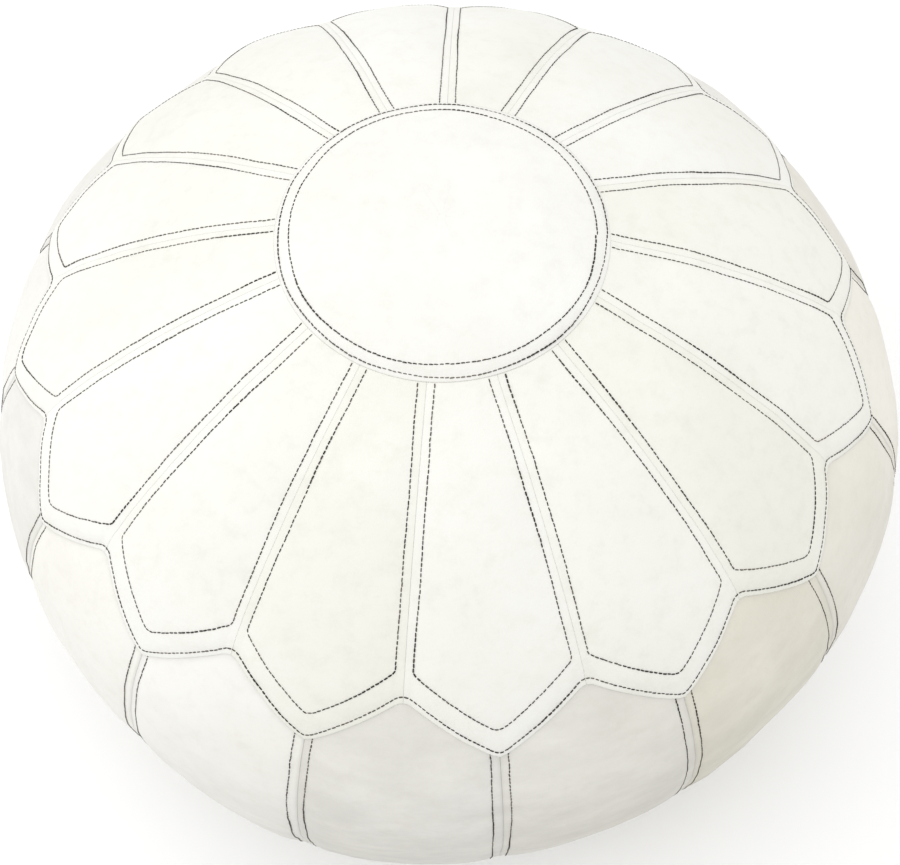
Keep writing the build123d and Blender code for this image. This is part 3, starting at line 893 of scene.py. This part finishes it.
def mottling_and_shade(nodes, links, base, tone, cream, strength):
    """Grey mottled streaks round the pouf, deepest where the tone carries painted shade towards the foot,
    and yellowed panels.
    """
    place = nodes.new("ShaderNodeTexCoord")
    stretch = nodes.new("ShaderNodeMapping")
    stretch.inputs["Scale"].default_value = (1, 1, 2.6)
    links.new(place.outputs["Object"], stretch.inputs["Vector"])
    streaks = nodes.new("ShaderNodeTexNoise")
    streaks.inputs["Scale"].default_value = 13
    streaks.inputs["Detail"].default_value = 8
    streaks.inputs["Roughness"].default_value = 0.68
    links.new(stretch.outputs["Vector"], streaks.inputs["Vector"])
    patches = ramp(nodes, links, streaks.outputs["Fac"], (0, 0, 0), (1, 1, 1), 0.40, 0.60)
    # the grey follows the tone, and with it the painted shade towards the foot
    streak_and_shade = multiply(nodes, links, tone, patches, clamp=True)
    grey = tuple(0.84 * c for c in cream)
    base = mix_colour(nodes, links, multiply(nodes, links, streak_and_shade, strength), base, grey)
    return mix_colour(nodes, links, attribute(nodes, "cream"), base, (0.95, 0.925, 0.84), "MULTIPLY")


def leather_grain(nodes, links):
    """Pores and fine creases, as a surface normal."""
    place = nodes.new("ShaderNodeTexCoord")
    pores = nodes.new("ShaderNodeTexVoronoi")
    pores.feature = "DISTANCE_TO_EDGE"
    pores.inputs["Scale"].default_value = 620
    pores.inputs["Randomness"].default_value = 0.9
    links.new(place.outputs["Object"], pores.inputs["Vector"])
    grain = bump(nodes, links, pores.outputs["Distance"], 0.16, 0.0003)
    crease = bump(nodes, links, noise_node(nodes, links, 150, 5, 0.6), 0.22, 0.0012)
    links.new(grain.outputs["Normal"], crease.inputs["Normal"])
    return crease.outputs["Normal"]


def leather_material(name, white, cream, roughness=0.62, mottled=0.0):
    """Soft matte leather: cream mottling, pores, fine creases, and painted shade along seams and cut
    edges.
    """
    made, nodes, links, shader = material(name)
    tone = attribute(nodes, "tone")
    edge = attribute(nodes, "edge")
    # the tone mixes in the second colour; on the side panels it also carries painted shade towards the
    # foot
    base = mix_colour(nodes, links, tone, white, cream)
    clouds = noise_node(nodes, links, 9, 4)
    cloudy = ramp(nodes, links, clouds, (0.955, 0.95, 0.93), (1, 1, 1), 0.36, 0.60)
    base = mix_colour(nodes, links, 1.0, base, cloudy, "MULTIPLY")
    spots = noise_node(nodes, links, 120, 6, 0.7)
    specks = ramp(nodes, links, spots, (0.94, 0.935, 0.915), (1, 1, 1), 0.30, 0.52)
    base = mix_colour(nodes, links, 0.7, base, specks, "MULTIPLY")
    if mottled:
        base = mottling_and_shade(nodes, links, base, tone, cream, mottled)
    # painted shade along seams and lapped edges, read from the edge attribute
    edge_shade_colour = tuple(0.80 * c for c in cream)
    base = mix_colour(nodes, links, multiply(nodes, links, edge, 0.35), base, edge_shade_colour)
    links.new(base, shader.inputs["Base Color"])
    shader.inputs["Roughness"].default_value = roughness
    shader.inputs["Specular IOR Level"].default_value = 0.32
    shader.inputs["Sheen Weight"].default_value = 0.12
    shader.inputs["Sheen Roughness"].default_value = 0.5
    links.new(leather_grain(nodes, links), shader.inputs["Normal"])
    return made


def thread_material():
    """Waxed dark thread, paler where it is worn."""
    made, nodes, links, shader = material("thread_dark")
    colour = mix_colour(nodes, links, attribute(nodes, "tone"), (0.026, 0.019, 0.014), (0.19, 0.16, 0.135))
    strands = ramp(nodes, links, noise_node(nodes, links, 2500, 2), (0.6, 0.6, 0.6), (1, 1, 1), 0.4, 0.6)
    links.new(mix_colour(nodes, links, 0.6, colour, strands, "MULTIPLY"), shader.inputs["Base Color"])
    shader.inputs["Roughness"].default_value = 0.7
    return made


def brass_material():
    made, nodes, links, shader = material("zip_metal")
    colour = ramp(nodes, links, noise_node(nodes, links, 260, 5), (0.40, 0.31, 0.16), (0.66, 0.54, 0.31))
    links.new(colour, shader.inputs["Base Color"])
    shader.inputs["Metallic"].default_value = 1.0
    shader.inputs["Roughness"].default_value = 0.34
    scratches = bump(nodes, links, noise_node(nodes, links, 1800, 3), 0.15, 0.0002)
    links.new(scratches.outputs["Normal"], shader.inputs["Normal"])
    return made


def tape_material():
    """Cotton tape with a diagonal weave."""
    made, nodes, links, shader = material("zip_cotton_tape")
    place = nodes.new("ShaderNodeTexCoord")
    waves = nodes.new("ShaderNodeTexWave")
    waves.wave_type = "BANDS"
    waves.bands_direction = "DIAGONAL"
    waves.inputs["Scale"].default_value = 420
    waves.inputs["Distortion"].default_value = 1.5
    links.new(place.outputs["Object"], waves.inputs["Vector"])
    colour = ramp(nodes, links, waves.outputs["Fac"], (0.50, 0.46, 0.38), (0.72, 0.68, 0.60), 0.2, 0.8)
    links.new(colour, shader.inputs["Base Color"])
    shader.inputs["Roughness"].default_value = 0.9
    weave = bump(nodes, links, waves.outputs["Fac"], 0.5, 0.0003)
    links.new(weave.outputs["Normal"], shader.inputs["Normal"])
    return made


def floor_material():
    made, nodes, links, shader = material("studio_floor")
    colour = ramp(nodes, links, noise_node(nodes, links, 3, 2), (0.97, 0.97, 0.97), (0.985, 0.985, 0.985))
    links.new(colour, shader.inputs["Base Color"])
    shader.inputs["Roughness"].default_value = 0.9
    return made


def dress(piece, look):
    piece.data.materials.clear()
    piece.data.materials.append(look)


# ---- camera and light -----------------------------------------------------------------------------
CAMERA_TURN = radians(3.25)
CAMERA_ELEVATION = radians(65.2)
CAMERA_DISTANCE = 2.7 * BODY_RADIUS
CAMERA_TARGET = Vector((0.014, 0.031, 0.347)) * BODY_RADIUS
LENS = 42.3
SENSOR_WIDTH = 36
LIT_POINT = Vector((0, 0, 0.15))
FLOOR_HALF = 4.0


def make_camera():
    """Camera above the front, turned a little to one side of the front seam."""
    turn = CAMERA_TURN
    offset = Vector((0, -cos(CAMERA_ELEVATION), sin(CAMERA_ELEVATION))) * CAMERA_DISTANCE
    data = bpy.data.cameras.new("camera")
    data.lens = LENS
    data.sensor_width = SENSOR_WIDTH
    camera = bpy.data.objects.new("camera", data)
    place = CAMERA_TARGET + offset
    camera.location = (place.x * cos(turn) - place.y * sin(turn),
                       place.x * sin(turn) + place.y * cos(turn), place.z)
    camera.rotation_euler = (pi / 2 - CAMERA_ELEVATION, 0, turn)
    bpy.context.scene.collection.objects.link(camera)
    bpy.context.scene.camera = camera


def make_light(name, place, size, power):
    data = bpy.data.lights.new(name, "AREA")
    data.shape = "DISK"
    data.size = size
    data.energy = power
    light = bpy.data.objects.new(name, data)
    light.location = place
    light.rotation_euler = (LIT_POINT - Vector(place)).to_track_quat("-Z", "Y").to_euler()
    bpy.context.scene.collection.objects.link(light)


def make_studio():
    scene = bpy.context.scene
    make_light("key", (0.05, 0.2, 3.0), 3.0, 29)
    make_light("side", (-2.0, -0.3, 1.2), 1.5, 8)
    world = bpy.data.worlds.new("studio")
    world.use_nodes = True
    background = world.node_tree.nodes["Background"]
    background.inputs["Color"].default_value = (1, 1, 1, 1)
    background.inputs["Strength"].default_value = 0.80
    scene.world = world
    scene.view_settings.view_transform = "Standard"
    half = FLOOR_HALF
    floor = new_piece("floor", [(-half, -half, 0), (half, -half, 0), (half, half, 0), (-half, half, 0)],
                      [(0, 1, 2, 3)])
    dress(floor, floor_material())


# ---- putting it together ------------------------------------------------------------------------------
CREAMY_PETALS = {0: 0.22, 11: 0.3, 12: 0.35, 13: 0.35, 14: 0.15}


def panel_tone(index, start, differing):
    """How creamy a panel is: hides differ, and a few of them stand out."""
    return float(np.clip(start + 0.12 * sin(2.4 * index + 1) + differing.get(index, 0.0), 0, 1))


def make_skins():
    """The leathers of the pouf's parts."""
    return {
        "medallion": leather_material("leather_medallion_white", (0.885, 0.882, 0.85), (0.86, 0.85, 0.79)),
        "petals": leather_material("leather_petal_white", (0.885, 0.882, 0.845), (0.84, 0.835, 0.755)),
        # the side leather's second colour is a darker grey, reached where the tone carries painted shade
        # towards the foot
        "sides": leather_material("leather_side_white", (0.885, 0.878, 0.842), (0.68, 0.665, 0.612),
                                  mottled=0.8),
        "base": leather_material("leather_base_white", (0.84, 0.82, 0.76), (0.74, 0.71, 0.63), 0.75),
    }


def place_piece(piece, look, node):
    """Dress a piece in its material and stand it in for its node, on the body at rest."""
    dress(piece, look)
    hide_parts(node)
    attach(piece, "root")


def dress_zip(brass, tape):
    """The zip keeps the frame's own geometry and gets new materials."""
    for name in ("zip_teeth_right", "zip_teeth_left", "zip_top_stops", "zip_bottom_stop",
                 "zip_slider", "zip_pull"):
        dress(bpy.data.objects[name], brass)
    for name in ("zip_tape_right", "zip_tape_left"):
        dress(bpy.data.objects[name], tape)


def build():
    make_camera()
    make_studio()
    skins = make_skins()
    thread = thread_material()
    place_piece(make_medallion(), skins["medallion"], "top_medallion")
    for index in range(PANELS):
        petal = make_petal(index, panel_tone(index, 0.15, CREAMY_PETALS))
        place_piece(petal, skins["petals"], f"petal_{index + 1:02d}")
        side = make_side_panel(index, panel_tone(index, 0.2, GREY_SIDES))
        place_piece(side, skins["sides"], f"side_panel_{index + 1:02d}")
    for name, sign in (("base_right", 1), ("base_left", -1)):
        place_piece(make_base_half(f"leather_{name}", sign), skins["base"], name)
    place_piece(medallion_stitches(), thread, "thread_medallion")
    place_piece(petal_stitches(), thread, "thread_petals")
    place_piece(zigzag_stitches(), thread, "thread_zigzag")
    place_piece(side_seam_stitches(), thread, "thread_side_seams")
    stuffing = make_stuffing()
    place_piece(stuffing, skins["base"], "stuffing")
    dress_zip(brass_material(), tape_material())


build()
